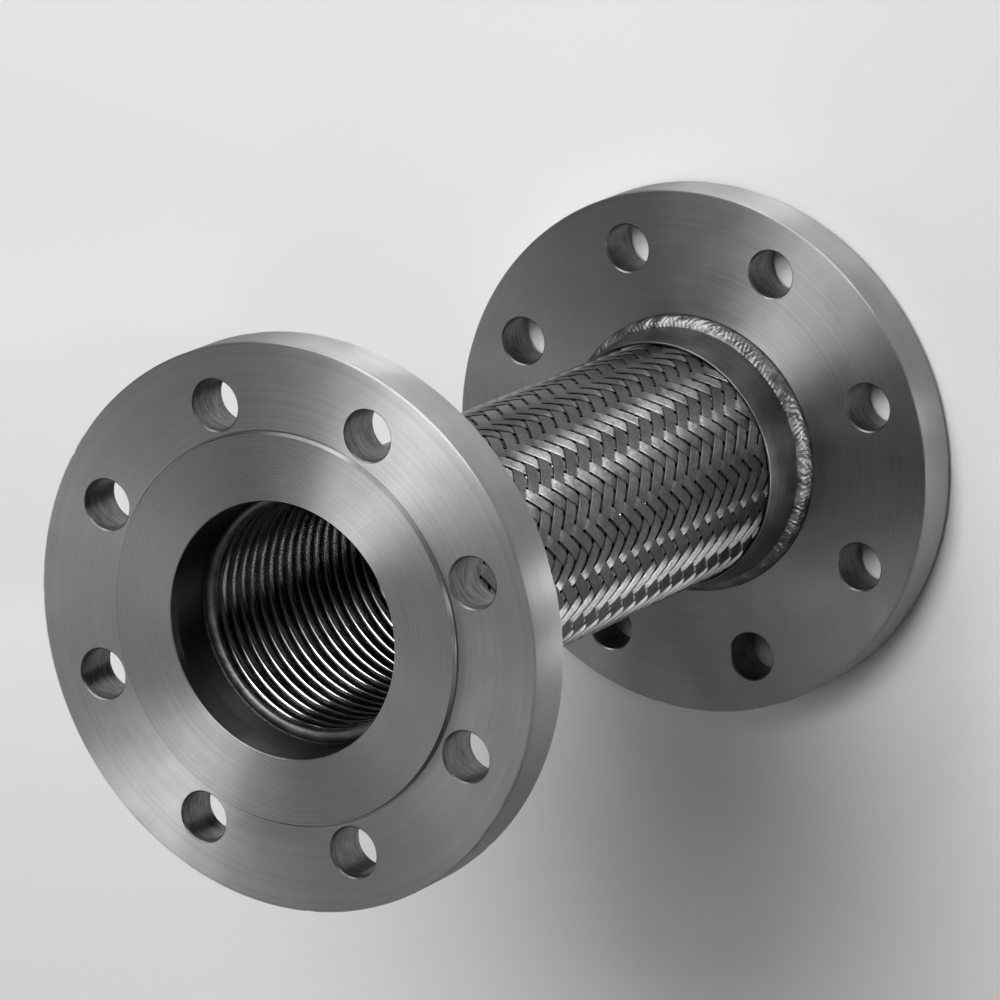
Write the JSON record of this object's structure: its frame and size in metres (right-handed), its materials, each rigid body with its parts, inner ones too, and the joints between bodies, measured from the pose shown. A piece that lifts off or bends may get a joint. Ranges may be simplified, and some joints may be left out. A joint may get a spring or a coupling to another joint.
{
  "type": "axial expansion joint",
  "caption": "Flexible pipe joint: a corrugated metal hose in a woven wire braid, welded at each end to a collar and a drilled flange with a raised sealing face.",
  "frame": {"origin": "centre of the lower flange's sealing face, on which the joint stands", "axes": "+Z along the hose's axis, from the lower flange to the upper one; the bolt holes straddle X and Y"},
  "size_m": [0.2, 0.2, 0.3],
  "materials": {
    "flange_steel": "lathe-turned, with fine concentric lines, light scratches and nicks",
    "hose_steel": "bright drawn strip",
    "braid_steel": "bright drawn wire",
    "collar_steel": "plain satin",
    "weld_steel": "rippled weld bead"
  },
  "bodies": {
    "lower_end": {"lower_flange": "flange_steel", "lower_collar": "collar_steel", "lower_collar_weld": "weld_steel", "lower_root_weld": "weld_steel", "corrugated_hose": "hose_steel", "wire_braid": "braid_steel"},
    "upper_end": {"upper_flange": "flange_steel", "upper_collar": "collar_steel", "upper_collar_weld": "weld_steel", "upper_root_weld": "weld_steel"}
  },
  "joints": [
    {"name": "axial_compression", "type": "slide", "parent": "lower_end", "child": "upper_end", "axis": [0, 0, 1], "range_m": [-0.01, 0], "stiffness_N_per_m": 200000, "springref_m": 0.0002, "deforming": ["corrugated_hose", "wire_braid"]}
  ]
}
